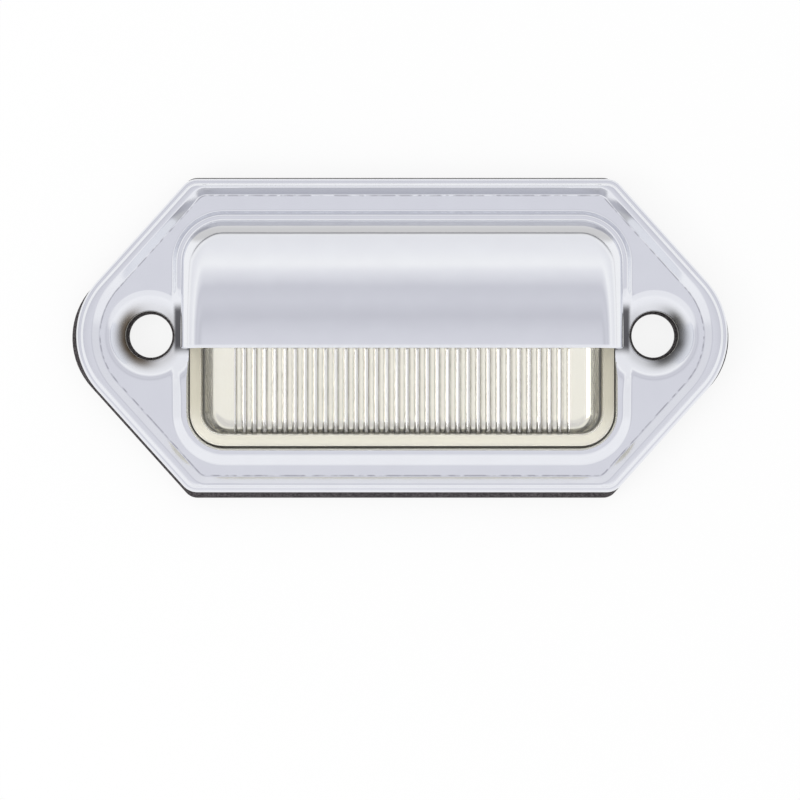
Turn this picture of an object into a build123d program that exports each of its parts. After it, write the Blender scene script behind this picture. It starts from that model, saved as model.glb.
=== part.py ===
"""Number plate lamp, lying on its back. Millimetres, +Z out of the mounting face, +Y to the hood."""
import os
from math import radians, sin, sqrt, tan

from build123d import *

# Driving dimensions

# Screw holes
HOLE_FROM_WINDOW = 4.95
BEZEL_HOLE_RADIUS = 3.1
BASE_HOLE_RADIUS = 3.1
GASKET_HOLE_RADIUS = 2.75
DISH_RADIUS = 5.3
DISH_LIP = 0.25

# Cover outline: a long six-sided plate with round noses
BEZEL_LENGTH = 81.9
BEZEL_WIDTH = 39.4
NOSE_ANGLE = 48.0
NOSE_RADIUS = 10.3
CORNER_RADIUS = 2.4

# Cover levels and rim
SHEET = 0.7
SKIRT_HEIGHT = 3.2
RIM_WIDTH = 2.1
RIM_NOSE_WIDTH = 3.0
RIM_RISE = 0.9
RIM_STEP = 0.55
STEP_DROP = 0.75
RIM_BEVEL = 0.4
STEP_BEVEL = 0.3

# Window, collar and hood
WINDOW_LENGTH = 53.6
WINDOW_WIDTH = 27.8
WINDOW_DROP = 0.25
WINDOW_RADIUS = 4.5
COLLAR_WIDTH = 2.0
COLLAR_RISE = 0.7
COLLAR_BEVEL = 0.3
HOOD_HEIGHT = 9.8
HOOD_EDGE = -1.7
HOOD_FALL = 6.2
HOOD_ROUND = 2.9

# Lens
LENS_GAP = 0.3
LENS_HEIGHT = 4.7
LENS_WALL = 1.3
LENS_BEVEL = 1.2
LENS_SOFT = 0.5
LENS_CHAMFER = 0.4
LENS_BACK_CUT = 2.7
LENS_BACK_WALL = 0.8
LEDGE_END = 8.8
LEDGE_GAP = 0.3
RIB_END = 5.8
RIB_PITCH = 1.27
RIB_RADIUS = 0.8
SEAL_THICKNESS = 0.5

# Rubber pad
GASKET_THICKNESS = 2.0
GASKET_MARGIN = 0.5
GASKET_NOSE_TRIM = 1.5
GASKET_CORNER_TRIM = 1.0
GASKET_SLIP_X = -0.2
GASKET_SLIP_Y = -0.25

# Base
PLATE_THICKNESS = 1.3
BASE_GAP = 0.2
PLINTH_GAP = 0.3
PLINTH_HEIGHT = 1.5
POCKET_END = 9.8
POCKET_SIDE = 3.9
OUTLET_RADIUS = 3.5
OUTLET_BORE = 2.5
OUTLET_SHORT = 0.4
OUTLET_GAP = 0.5

# Board and what it carries
BOARD_INSET = 0.3
BOARD_THICKNESS = 1.2
SCREW_END = 6.6
SCREW_BACK = 6.25
SCREW_RADIUS = 1.0
SCREW_HEAD_RADIUS = 1.8
SCREW_HEAD_HEIGHT = 1.2
SCREW_GAP = 0.15
THREAD_GAP = 0.02
SCREW_SLOT = 0.5
SCREW_SLOT_DEPTH = 0.6
LED_COUNT = 6
LED_END = 7.8
LED_BACK = 9.65
LED_LENGTH = 3.5
LED_WIDTH = 2.8
LED_HEIGHT = 1.9
LED_CUP_LENGTH = 2.7
LED_CUP_WIDTH = 2.0
LED_CUP_DEPTH = 0.5
RESISTOR_COUNT = 3
RESISTOR_PITCH = 7.0
RESISTOR_Y = 6.0
RESISTOR_LENGTH = 3.2
RESISTOR_WIDTH = 1.6
RESISTOR_HEIGHT = 0.6
DIODE_X = -9.0
DIODE_Y = -5.0
DIODE_LENGTH = 4.3
DIODE_WIDTH = 2.6
DIODE_HEIGHT = 1.1
TERMINAL_SPACING = 9.0
TERMINAL_Y = 0.0
TERMINAL_LENGTH = 2.6
TERMINAL_WIDTH = 2.2
TERMINAL_HEIGHT = 0.6
TERMINAL_SLOT = 1.1

# Reflector
REFLECTOR_GAP = 1.0
REFLECTOR_HEIGHT = 1.9
REFLECTOR_FLOOR = 0.7
REFLECTOR_LIP = 0.6
REFLECTOR_SLOPE = 35.0
REFLECTOR_RADIUS = 3.0
LED_GAP = 0.3

# Grommet
GROMMET_STAND = 0.5
WIRE_RADIUS = 0.8
WIRE_SPACING = 2.4

# Levels from the mounting face
Z_PAD = GASKET_THICKNESS
Z_PLATE = Z_PAD + PLATE_THICKNESS
Z_LAND = Z_PAD + SKIRT_HEIGHT
Z_RIM = Z_LAND + RIM_RISE
Z_STEP = Z_RIM - STEP_DROP
Z_COLLAR = Z_LAND + COLLAR_RISE
Z_HOOD = Z_LAND + HOOD_HEIGHT
Z_LENS_FOOT = Z_PLATE + SEAL_THICKNESS
Z_LENS = Z_LAND + LENS_HEIGHT
Z_BOARD = Z_PLATE + PLINTH_HEIGHT
Z_PARTS = Z_BOARD + BOARD_THICKNESS
Z_FLOOR = Z_PARTS + REFLECTOR_FLOOR
OVER = 5.0

# Places that follow the window
WINDOW_BACK = WINDOW_WIDTH / 2 - WINDOW_DROP
HOLE_SPACING = WINDOW_LENGTH + 2 * HOLE_FROM_WINDOW
SCREW_X = WINDOW_LENGTH / 2 - SCREW_END
SCREW_Y = WINDOW_BACK - SCREW_BACK
LED_PITCH = (WINDOW_LENGTH - 2 * LED_END) / (LED_COUNT - 1)
LED_Y = WINDOW_BACK - LED_BACK
RIB_COUNT = int((WINDOW_LENGTH - 2 * RIB_END) / RIB_PITCH)

HOLES = [(-HOLE_SPACING / 2, 0), (HOLE_SPACING / 2, 0)]
SCREWS = [(-SCREW_X, SCREW_Y), (SCREW_X, SCREW_Y)]
TERMINALS = [(-TERMINAL_SPACING / 2, TERMINAL_Y), (TERMINAL_SPACING / 2, TERMINAL_Y)]
LED_SPOTS = [((i - (LED_COUNT - 1) / 2) * LED_PITCH, LED_Y) for i in range(LED_COUNT)]


def six_sided(length, width, nose_radius, corner_radius):
    """Outline of the plate: four slanted sides, two straight ones, round noses and corners."""
    tip = length / 2 + nose_radius * (1 / sin(radians(NOSE_ANGLE)) - 1)
    corner = tip - width / 2 / tan(radians(NOSE_ANGLE))
    points = [
        (tip, 0),
        (corner, width / 2),
        (-corner, width / 2),
        (-tip, 0),
        (-corner, -width / 2),
        (corner, -width / 2),
    ]
    face = make_face(Polyline(*points, close=True))
    face = fillet(face.vertices().filter_by(lambda v: abs(v.Y) < width / 4), nose_radius)
    return fillet(face.vertices().filter_by(lambda v: is_corner(v, corner, width)), corner_radius)


def is_corner(vertex, x, width):
    """True at the four sharp corners of the plate."""
    return abs(abs(vertex.X) - x) < 0.01 and abs(abs(vertex.Y) - width / 2) < 0.01


def plate_outline(inset):
    """The cover's outline, moved in by inset."""
    return six_sided(
        BEZEL_LENGTH - 2 * inset,
        BEZEL_WIDTH - 2 * inset,
        NOSE_RADIUS - inset,
        CORNER_RADIUS - inset,
    )


def window_outline(inset):
    """The window's outline, moved in by inset (out if negative)."""
    return Pos(0, -WINDOW_DROP) * RectangleRounded(
        WINDOW_LENGTH - 2 * inset,
        WINDOW_WIDTH - 2 * inset,
        WINDOW_RADIUS - inset,
    )


def block(face, bottom, top):
    """A flat outline raised from one level to another."""
    return extrude(Pos(0, 0, bottom) * face, top - bottom)


def flared(face, bottom, top, slope):
    """A block that widens towards its top."""
    return extrude(Pos(0, 0, bottom) * face, top - bottom, taper=-slope)


def drilled(shape, spots, radius, bottom, top):
    """The shape with a round hole at each spot."""
    for x, y in spots:
        shape = shape - Pos(x, y, bottom) * extrude(Circle(radius), top - bottom)
    return shape


def edges_at(shape, z):
    """The edges of a shape that lie wholly in one level."""
    return shape.edges().filter_by(lambda e: in_level(e, z))


def inner_edges(edges):
    """The rim's edges next to the recess."""
    limit = BEZEL_LENGTH / 2 - RIM_NOSE_WIDTH + 0.01
    width = BEZEL_WIDTH / 2 - RIM_WIDTH + 0.01
    boxes = [(e, e.bounding_box()) for e in edges]
    inside = [e for e, b in boxes if max(b.max.X, -b.min.X) < limit and max(b.max.Y, -b.min.Y) < width]
    return inside


def in_level(edge, z):
    """True where an edge lies in a level."""
    box = edge.bounding_box()
    return abs(box.min.Z - z) < 0.001 and abs(box.max.Z - z) < 0.001


def dish(drop):
    """What is pressed out of the cover round a screw hole: a cone with a flat foot."""
    low = Z_PLATE + SHEET - drop
    high = Z_LAND - drop
    foot = BEZEL_HOLE_RADIUS + DISH_LIP
    brim = DISH_RADIUS + drop
    points = [(0, low), (foot, low), (brim, high), (brim, Z_HOOD), (0, Z_HOOD)]
    return revolve(Plane.XZ * make_face(Polyline(*points, close=True)), Axis.Z)


def hood_block(inset):
    """The hood as a solid: upright walls under a roof that curves down to the back."""
    walls = block(window_outline(inset - SHEET), Z_LAND, Z_HOOD + OVER)
    back = WINDOW_BACK + SHEET
    front = (HOOD_EDGE, Z_HOOD - inset)
    rear = (back, Z_HOOD - HOOD_FALL - inset)
    roof = TangentArc(front, rear, tangent=(1, 0))
    rest = Polyline(rear, (back, 0), (HOOD_EDGE, 0), front)
    side = extrude(Plane.YZ * make_face(roof + rest), BEZEL_LENGTH / 2, both=True)
    solid = walls & side
    ridge = [e for e in solid.edges() if on_ridge(e)]
    if inset:
        return chamfer(ridge, HOOD_ROUND / 2)
    return fillet(ridge, HOOD_ROUND)


def on_ridge(edge):
    """True on the edge where the hood's roof meets its end and back walls."""
    box = edge.bounding_box()
    above = box.min.Z > Z_LAND + 0.5
    behind = box.max.Y > HOOD_EDGE + 0.01
    return above and behind


def make_bezel():
    """Chrome cover: skirt, stepped rim, recessed land, collar, dished holes, window and hood."""
    skin = block(plate_outline(0), Z_PAD, Z_STEP)
    skin = chamfer(edges_at(skin, Z_STEP), STEP_BEVEL)
    bead = block(plate_outline(RIM_STEP), Z_PAD, Z_RIM)
    bead = chamfer(edges_at(bead, Z_RIM), RIM_BEVEL)
    skin = skin + bead
    recess = block(recess_outline(), Z_LAND, Z_RIM + OVER)
    skin = skin - recess
    skin = chamfer(inner_edges(edges_at(skin, Z_RIM)), RIM_BEVEL)
    collar = block(window_outline(-COLLAR_WIDTH), Z_PAD, Z_COLLAR)
    collar = chamfer(edges_at(collar, Z_COLLAR), COLLAR_BEVEL)
    skin = skin + collar
    hollow = block(plate_outline(SHEET), 0, Z_LAND - SHEET)
    hollow = hollow + block(window_outline(SHEET - COLLAR_WIDTH), 0, Z_COLLAR - SHEET)
    skin = skin - [Pos(x, y) * dish(0) for x, y in HOLES]
    hollow = hollow - [Pos(x, y) * dish(SHEET) for x, y in HOLES]
    skin = skin + hood_block(0)
    shell = skin - hollow
    shell = shell - hood_block(SHEET)
    shell = shell - block(window_outline(0), 0, Z_LAND)
    front = Pos(0, HOOD_EDGE - BEZEL_WIDTH / 2) * Rectangle(BEZEL_LENGTH, BEZEL_WIDTH)
    shell = shell - block(window_outline(0) & front, 0, Z_HOOD)
    return drilled(shell, HOLES, BEZEL_HOLE_RADIUS, 0, Z_HOOD)


def recess_outline():
    """Inner edge of the rim."""
    return six_sided(
        BEZEL_LENGTH - 2 * RIM_NOSE_WIDTH,
        BEZEL_WIDTH - 2 * RIM_WIDTH,
        NOSE_RADIUS - RIM_NOSE_WIDTH / 2,
        CORNER_RADIUS - RIM_WIDTH / 2,
    )


def make_gasket():
    """Rubber pad under the cover, its outline a little larger and cut slightly off centre."""
    face = six_sided(
        BEZEL_LENGTH + 2 * GASKET_MARGIN,
        BEZEL_WIDTH + 2 * GASKET_MARGIN,
        NOSE_RADIUS + GASKET_MARGIN - GASKET_NOSE_TRIM,
        CORNER_RADIUS + GASKET_MARGIN - GASKET_CORNER_TRIM,
    )
    pad = Pos(GASKET_SLIP_X, GASKET_SLIP_Y) * block(face, 0, Z_PAD)
    pad = drilled(pad, HOLES, GASKET_HOLE_RADIUS, 0, Z_PAD)
    return drilled(pad, [(0, 0)], OUTLET_RADIUS + OUTLET_GAP, 0, Z_PAD)


def lens_body(inset):
    """The lens as a solid, its walls moved in by inset."""
    body = block(window_outline(LENS_GAP + inset), Z_LENS_FOOT, Z_LENS - inset)
    if inset:
        body = chamfer(edges_at(body, Z_LENS - inset), LENS_CHAMFER)
        return body - back_slope(LENS_BACK_WALL)
    body = chamfer(edges_at(body, Z_LENS), LENS_BEVEL)
    body = chamfer(edges_at(body, Z_LENS), LENS_SOFT)
    return body - back_slope(0)


def back_slope(wall):
    """What the lens leaves free at its back for the roof, moved in by wall."""
    back = WINDOW_BACK - LENS_GAP
    low = Z_LENS - LENS_BACK_CUT - wall * sqrt(2)
    points = [(back + OVER, low - OVER), (back - OVER, low + OVER), (back + OVER, low + OVER)]
    wedge = make_face(Polyline(*points, close=True))
    return extrude(Plane.YZ * wedge, BEZEL_LENGTH / 2, both=True)


def rib_block():
    """Upright ribs side by side, as one block with a scalloped rear face."""
    half = RIB_COUNT * RIB_PITCH / 2
    under = Z_LENS - LENS_WALL
    top = under + LENS_WALL / 2
    drop = RIB_RADIUS - sqrt(RIB_RADIUS**2 - (RIB_PITCH / 2) ** 2)
    lines = Polyline((half, under), (half, top), (-half, top), (-half, under))
    for i in range(RIB_COUNT):
        x = -half + i * RIB_PITCH
        lines = lines + ThreePointArc(
            (x, under),
            (x + RIB_PITCH / 2, under - drop),
            (x + RIB_PITCH, under),
        )
    front = WINDOW_DROP + WINDOW_WIDTH / 2 - LENS_GAP - LENS_WALL - LENS_CHAMFER
    back = WINDOW_BACK - LENS_GAP - LENS_BACK_CUT - LENS_BACK_WALL * sqrt(2) + LENS_WALL
    return Pos(0, back) * extrude(Plane.XZ * make_face(lines), front + back)


def make_lens():
    """Clear cover: shell with a soft edge and a sloped back, two ledges for the collar, ribs inside."""
    inner = lens_body(LENS_WALL)
    ledge_width = WINDOW_WIDTH + 2 * (COLLAR_WIDTH - SHEET - LEDGE_GAP)
    ledge = Pos(0, -WINDOW_DROP) * Rectangle(WINDOW_LENGTH - 2 * LEDGE_END, ledge_width)
    shell = lens_body(0) + block(ledge, Z_LENS_FOOT, Z_COLLAR - SHEET)
    shell = shell - inner
    return shell + rib_block()


def make_lens_seal():
    """Flat rubber ring between the lens foot and the base."""
    ring = window_outline(LENS_GAP) - window_outline(LENS_GAP + LENS_WALL)
    return block(ring, Z_PLATE, Z_LENS_FOOT)


def plinth_inset():
    """How far the plinth's wall stands in from the window."""
    return LENS_GAP + LENS_WALL + PLINTH_GAP


def make_base():
    """Plastic plate that fills the cover, with the plinth for the board and the lead outlet."""
    plate = block(plate_outline(SHEET + BASE_GAP), Z_PAD, Z_PLATE)
    plinth = block(window_outline(plinth_inset()), Z_PLATE, Z_BOARD)
    pocket = Rectangle(WINDOW_LENGTH - 2 * POCKET_END, WINDOW_WIDTH - 2 * POCKET_SIDE)
    pocket = block(pocket, Z_PLATE, Z_BOARD)
    body = plate + (plinth - pocket)
    body = body + block(Circle(OUTLET_RADIUS), OUTLET_SHORT, Z_PLATE)
    body = drilled(body, [(0, 0)], OUTLET_BORE, 0, Z_PLATE)
    body = drilled(body, SCREWS, SCREW_RADIUS + THREAD_GAP, Z_PLATE - PLATE_THICKNESS / 2, Z_BOARD)
    return drilled(body, HOLES, BASE_HOLE_RADIUS, 0, Z_PLATE)


def make_grommet():
    """Rubber plug in the lead outlet, with a hole for each lead."""
    plug = block(Circle(OUTLET_BORE), OUTLET_SHORT, Z_PLATE + GROMMET_STAND)
    wires = [(-WIRE_SPACING / 2, 0), (WIRE_SPACING / 2, 0)]
    return drilled(plug, wires, WIRE_RADIUS, 0, Z_BOARD)


def make_board():
    """Circuit board on the plinth, drilled for its screws."""
    board = block(window_outline(plinth_inset() + BOARD_INSET), Z_BOARD, Z_PARTS)
    return drilled(board, SCREWS, SCREW_RADIUS + SCREW_GAP, Z_BOARD, Z_PARTS)


def make_led(x, y):
    """Light source: a package with a cup in its top."""
    top = Z_PARTS + LED_HEIGHT
    body = block(Rectangle(LED_LENGTH, LED_WIDTH), Z_PARTS, top)
    body = body - block(Rectangle(LED_CUP_LENGTH, LED_CUP_WIDTH), top - LED_CUP_DEPTH, top)
    return Pos(x, y) * body


def under_board(length, width, height):
    """A chip part on the rear of the board."""
    return block(Rectangle(length, width), Z_BOARD - height, Z_BOARD)


def make_terminal(x, y):
    """Brass tab on the rear of the board for one lead."""
    tab = under_board(TERMINAL_LENGTH, TERMINAL_WIDTH, TERMINAL_HEIGHT)
    slot = Rectangle(TERMINAL_SLOT, TERMINAL_SLOT)
    tab = tab - block(slot, Z_BOARD - TERMINAL_HEIGHT, Z_BOARD - TERMINAL_HEIGHT / 2)
    return Pos(x, y) * tab


def reflector_outline(inset):
    """The reflector's outline, moved in by inset."""
    away = LENS_GAP + LENS_WALL + REFLECTOR_GAP + inset
    return Pos(0, -WINDOW_DROP) * RectangleRounded(
        WINDOW_LENGTH - 2 * away,
        WINDOW_WIDTH - 2 * away,
        max(REFLECTOR_RADIUS - inset, 0.4),
    )


def make_reflector():
    """Tray with sloping walls, an opening for each light source and two screw holes."""
    top = Z_PARTS + REFLECTOR_HEIGHT
    tray = block(reflector_outline(0), Z_PARTS, top)
    lean = (top - Z_FLOOR) * tan(radians(REFLECTOR_SLOPE))
    tray = tray - flared(reflector_outline(REFLECTOR_LIP + lean), Z_FLOOR, top, REFLECTOR_SLOPE)
    opening = Rectangle(LED_LENGTH + 2 * LED_GAP, LED_WIDTH + 2 * LED_GAP)
    for x, y in LED_SPOTS:
        tray = tray - block(Pos(x, y) * opening, Z_PARTS, top)
    return drilled(tray, SCREWS, SCREW_RADIUS + SCREW_GAP, Z_PARTS, top)


def make_screw(x, y):
    """Self-tapping screw with a slotted head."""
    head_top = Z_FLOOR + SCREW_HEAD_HEIGHT
    shank = block(Circle(SCREW_RADIUS), Z_PLATE - PLATE_THICKNESS / 4, Z_FLOOR)
    screw = shank + block(Circle(SCREW_HEAD_RADIUS), Z_FLOOR, head_top)
    slot = Rectangle(2 * SCREW_HEAD_RADIUS, SCREW_SLOT)
    screw = screw - block(slot, head_top - SCREW_SLOT_DEPTH, head_top)
    return Pos(x, y) * screw


def save(shape, name):
    """Write one piece to its STEP file."""
    solid = shape.solids()[0]
    solid.label = name
    export_step(solid, f"parts/{name}.step")
    print(name, len(shape.solids()), round(solid.volume, 2), solid.is_valid)


def main():
    os.makedirs("parts", exist_ok=True)
    save(make_bezel(), "bezel")
    save(make_lens(), "lens")
    save(make_gasket(), "gasket")
    save(make_reflector(), "reflector")
    save(make_board(), "circuit_board")
    for i, (x, y) in enumerate(LED_SPOTS, 1):
        save(make_led(x, y), f"led_{i}")
    for i in range(RESISTOR_COUNT):
        x = (i - (RESISTOR_COUNT - 1) / 2) * RESISTOR_PITCH
        chip = under_board(RESISTOR_LENGTH, RESISTOR_WIDTH, RESISTOR_HEIGHT)
        save(Pos(x, RESISTOR_Y) * chip, f"resistor_{i + 1}")
    save(Pos(DIODE_X, DIODE_Y) * under_board(DIODE_LENGTH, DIODE_WIDTH, DIODE_HEIGHT), "diode")
    save(make_base(), "base")
    save(make_lens_seal(), "lens_seal")
    for i, (x, y) in enumerate(SCREWS, 1):
        save(make_screw(x, y), f"board_screw_{i}")
    for i, (x, y) in enumerate(TERMINALS, 1):
        save(make_terminal(x, y), f"terminal_{i}")
    save(make_grommet(), "wire_grommet")


main()
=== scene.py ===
# %% [markdown]
# A chrome number plate lamp, dressed in Blender.
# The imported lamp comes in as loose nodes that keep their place. This lesson gives each of them a finish, and
# rebuilds the three whose soft forms a polished or clear surface gives away: the cover, lens and reflector.

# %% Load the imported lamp
import math
import bpy
import bmesh
import numpy as np
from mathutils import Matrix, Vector, geometry


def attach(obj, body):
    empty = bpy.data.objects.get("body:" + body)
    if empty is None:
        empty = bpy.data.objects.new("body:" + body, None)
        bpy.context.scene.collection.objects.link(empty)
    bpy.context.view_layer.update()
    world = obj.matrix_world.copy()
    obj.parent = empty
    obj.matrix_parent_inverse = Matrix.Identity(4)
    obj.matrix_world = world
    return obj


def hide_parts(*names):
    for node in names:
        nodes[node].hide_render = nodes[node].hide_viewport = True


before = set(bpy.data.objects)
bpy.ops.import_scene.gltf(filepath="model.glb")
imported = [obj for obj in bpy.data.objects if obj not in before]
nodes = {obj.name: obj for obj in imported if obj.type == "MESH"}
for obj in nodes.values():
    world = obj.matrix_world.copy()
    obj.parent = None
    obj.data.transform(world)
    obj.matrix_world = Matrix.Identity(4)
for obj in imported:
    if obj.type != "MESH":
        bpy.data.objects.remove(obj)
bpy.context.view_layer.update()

MM = 0.001

# %% [markdown]
# A finish is a small graph of nodes, and sums in it are easier to read as sums. One class wraps a node's
# output: arithmetic on it adds Math nodes, and its one other method adds any node with settings and sockets.

# %% A socket that can be calculated with
class Wire:
    """One output of a node; sums with it add Math nodes to its tree."""

    def __init__(self, socket):
        self.socket = socket

    @staticmethod
    def pick(sockets, key):
        usable = [s for s in sockets if s.enabled]
        return usable[key] if isinstance(key, int) else next(s for s in usable if s.name == key)

    @staticmethod
    def node(tree, kind, settings=None, sockets=None, output=0):
        """Any node: its settings first, then the values or links of its sockets."""
        made = tree.nodes.new(kind)
        for name, value in (settings or {}).items():
            if name == "stops":
                Wire.fill(made.color_ramp, value)
            else:
                setattr(made, name, value)
        for key, value in (sockets or {}).items():
            socket = Wire.pick(made.inputs, key)
            if isinstance(value, Wire):
                tree.links.new(value.socket, socket)
            else:
                socket.default_value = value
        return Wire(Wire.pick(made.outputs, output)) if len(made.outputs) else made

    @staticmethod
    def fill(ramp, stops):
        while len(ramp.elements) < len(stops):
            ramp.elements.new(1.0)
        for element, (place, colour) in zip(ramp.elements, stops):
            element.position = place
            element.color = (*colour, 1.0)

    def math(self, operation, *values):
        tree = self.socket.id_data
        return Wire.node(tree, "ShaderNodeMath", {"operation": operation}, dict(enumerate(values)))

    def __add__(self, other):
        return self.math("ADD", self, other)

    def __sub__(self, other):
        return self.math("SUBTRACT", self, other)

    def __rsub__(self, other):
        return self.math("SUBTRACT", other, self)

    def __mul__(self, other):
        return self.math("MULTIPLY", self, other)

    def __truediv__(self, other):
        return self.math("DIVIDE", self, other)

    def __rtruediv__(self, other):
        return self.math("DIVIDE", other, self)

    __radd__ = __add__
    __rmul__ = __mul__

    def between(self, low, high):
        """0 below low, 1 above high, with soft ends."""
        tree = self.socket.id_data
        return Wire.node(tree, "ShaderNodeMapRange", {"interpolation_type": "SMOOTHSTEP"},
                         {"Value": self, "From Min": low, "From Max": high})


print("sums ready")

# %% [markdown]
# Three small helpers serve all the finishes: one starts a material and sets what is the same all over it,
# one mixes two colours by a mask, and one gives a noise pattern at a grain size in millimetres.

# %% Helpers for finishes
def new_finish(name, **constants):
    material = bpy.data.materials.new(name)
    material.use_nodes = True
    shader = material.node_tree.nodes["Principled BSDF"]
    for key, value in constants.items():
        shader.inputs[key.replace("_", " ")].default_value = value
    return material, material.node_tree, shader


def place(tree):
    return Wire.node(tree, "ShaderNodeTexCoord", output="Object")


def blend(tree, mask, first, second):
    return Wire.node(tree, "ShaderNodeMix", {"data_type": "RGBA"}, {"Factor": mask, "A": first, "B": second}, "Result")


def grain(tree, where, size, detail=2.0):
    return Wire.node(tree, "ShaderNodeTexNoise", {}, {"Vector": where, "Scale": 1 / (size * MM), "Detail": detail})


def bump(tree, height, depth, strength=1.0):
    return Wire.node(tree, "ShaderNodeBump", {}, {"Strength": strength, "Distance": depth * MM, "Height": height})


def feed(tree, shader, **wires):
    for key, wire in wires.items():
        tree.links.new(wire.socket, shader.inputs[key.replace("_", " ")])


print("finish helpers ready")

# %% [markdown]
# The lamp is looked at from straight above, from about 60 cm, so that its outline keeps its shape. The
# picture is 100 mm wide at the height of the flange, and the lamp sits a little above its middle.

# %% Camera
REACH = 600.0
VIEW_WIDTH = 100.5
LEVEL = 5.5
camera = bpy.data.objects.new("camera", bpy.data.cameras.new("camera"))
bpy.context.scene.collection.objects.link(camera)
camera.data.sensor_width = 36.0
camera.data.lens = 36.0 * REACH / VIEW_WIDTH
camera.location = (-0.25 * MM, -8.1 * MM, (LEVEL + REACH) * MM)
camera.rotation_euler = (0.0, 0.0, 0.0)
camera.data.clip_end = 10.0
bpy.context.scene.camera = camera
print("lens mm", round(camera.data.lens, 1))

# %% [markdown]
# Chrome has no colour of its own: it shows the room. The room here is a light tent. It is white low down, a
# cool grey overhead where the camera looks in, and it has a thin dark seam where it meets the table. That
# seam draws the fine dark lines along the rims. The sides near the table and the front overhead are lifted,
# which evens out the noses and the reflector. Other light is plain white, so colours stay as written.

# %% Light tent
world = bpy.data.worlds.new("tent")
bpy.context.scene.world = world
world.use_nodes = True
room = world.node_tree
room.nodes.clear()
facing = Wire.node(room, "ShaderNodeTexCoord", output="Generated")
height = Wire.node(room, "ShaderNodeSeparateXYZ", {}, {"Vector": facing}, "Z")
TENT = [
    (0.0, (0.25, 0.25, 0.27)),
    (0.05, (0.38, 0.38, 0.40)),
    (0.11, (1.0, 1.0, 1.0)),
    (0.30, (0.88, 0.88, 0.90)),
    (0.45, (0.92, 0.92, 0.94)),
    (0.60, (1.0, 1.0, 1.0)),
    (0.66, (0.87, 0.87, 0.90)),
    (0.73, (0.77, 0.77, 0.81)),
    (0.78, (0.66, 0.66, 0.71)),
    (0.87, (0.70, 0.70, 0.75)),
    (0.94, (0.63, 0.63, 0.68)),
    (1.0, (0.76, 0.76, 0.81)),
]
tent = Wire.node(room, "ShaderNodeValToRGB", {"stops": TENT}, {"Fac": height})
LIFT = 0.8
side = Wire(height.socket.node.outputs["X"])
ahead = Wire(height.socket.node.outputs["Y"])
level = height.math("SQRT", side * side + ahead * ahead + 0.0001)
beside = 1 - (height.math("ABSOLUTE", ahead) / level).between(0.6, 0.95)
low = 1 - height.between(0.05, 0.3)
tent = blend(room, beside * low * LIFT, tent, (1.0, 1.0, 1.0, 1.0))
front = 1 - ahead.between(-0.18, -0.05)
tent = blend(room, front * LIFT, tent, (0.97, 0.97, 0.99, 1.0))
ray = Wire.node(room, "ShaderNodeLightPath", output="Is Diffuse Ray")
tent = blend(room, ray, tent, (1.0, 1.0, 1.0, 1.0))
sky = Wire.node(room, "ShaderNodeBackground", {}, {"Color": tent, "Strength": 1.0})
Wire.node(room, "ShaderNodeOutputWorld", {}, {"Surface": sky})
print("tent bands", len(TENT))

# %% [markdown]
# A soft lamp to the left gives a faint shadow on the table, and mirrors don't show it. The table is plain and
# pale. Seen directly, or in metal and glass, it is lifted to white, but it keeps that shadow.

# %% Soft lamp and table
softbox = bpy.data.objects.new("softbox", bpy.data.lights.new("softbox", "AREA"))
softbox.data.shape = "RECTANGLE"
softbox.data.size = 0.30
softbox.data.size_y = 0.20
softbox.data.energy = 0.5
softbox.visible_glossy = False
softbox.location = (-0.34, -0.12, 0.40)
softbox.rotation_euler = (Vector((0, 0, 0)) - softbox.location).to_track_quat("-Z", "Y").to_euler()
bpy.context.scene.collection.objects.link(softbox)

TABLE_R = 0.9
bpy.ops.mesh.primitive_circle_add(vertices=96, radius=TABLE_R, fill_type="NGON", location=(0, 0, 0))
table = bpy.context.object
table.name = "table"
paper, tree, shader = new_finish("table_paper", Roughness=0.9)
fleck = grain(tree, place(tree), 0.4)
feed(tree, shader, Base_Color=blend(tree, fleck, (0.86, 0.86, 0.86, 1), (0.90, 0.90, 0.90, 1)))
seen = [Wire.node(tree, "ShaderNodeLightPath", output=f"Is {kind} Ray")
        for kind in ("Camera", "Glossy", "Transmission")]
lift = (seen[0] + seen[1] + seen[2]) * 0.85
glow = Wire.node(tree, "ShaderNodeEmission", {}, {"Color": (1, 1, 1, 1), "Strength": 1.0})
mixed = Wire.node(tree, "ShaderNodeMixShader", {}, {0: lift, 1: Wire(shader.outputs[0]), 2: glow})
tree.links.new(mixed.socket, tree.nodes["Material Output"].inputs["Surface"])
table.data.materials.append(paper)
print("table radius m", TABLE_R)

# %% [markdown]
# The cover is one pressed sheet. Seen from above it is a height map: a stepped rim that follows a six-sided
# outline, a flat land, a raised collar round the window, and a dish round each screw hole. Each is a function
# of the distance to an outline, so these distances come first.

# %% Distances to the outlines
SLANT = math.radians(48.0)
PLATE = (81.9, 39.4, 10.3, 2.4)
RECESS = (75.9, 35.2, 8.8, 1.35)
WINDOW = (26.8, 13.9, 4.5)
WINDOW_Y = -0.25
HOLE_X = 31.75


def inside_plate(x, y, length, width, nose, corner):
    """How far a point lies inside a six-sided outline with round noses and corners."""
    s, c = math.sin(SLANT), math.cos(SLANT)
    x, y = np.abs(x), np.abs(y)
    tip = length / 2 + nose * (1 / s - 1)
    depth = np.minimum(width / 2 - y, (tip - x) * s - y * c)
    dx = x - (length / 2 - nose)
    at_nose = (y * s < dx * c) & (dx > 0)
    depth = np.where(at_nose, nose - np.hypot(dx, y), depth)
    cy = width / 2 - corner
    cx = tip - (corner + cy * c) / s
    dx, dy = x - cx, y - cy
    at_corner = (dy * s > dx * c) & (dx > 0)
    return np.where(at_corner, corner - np.hypot(dx, dy), depth)


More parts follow.
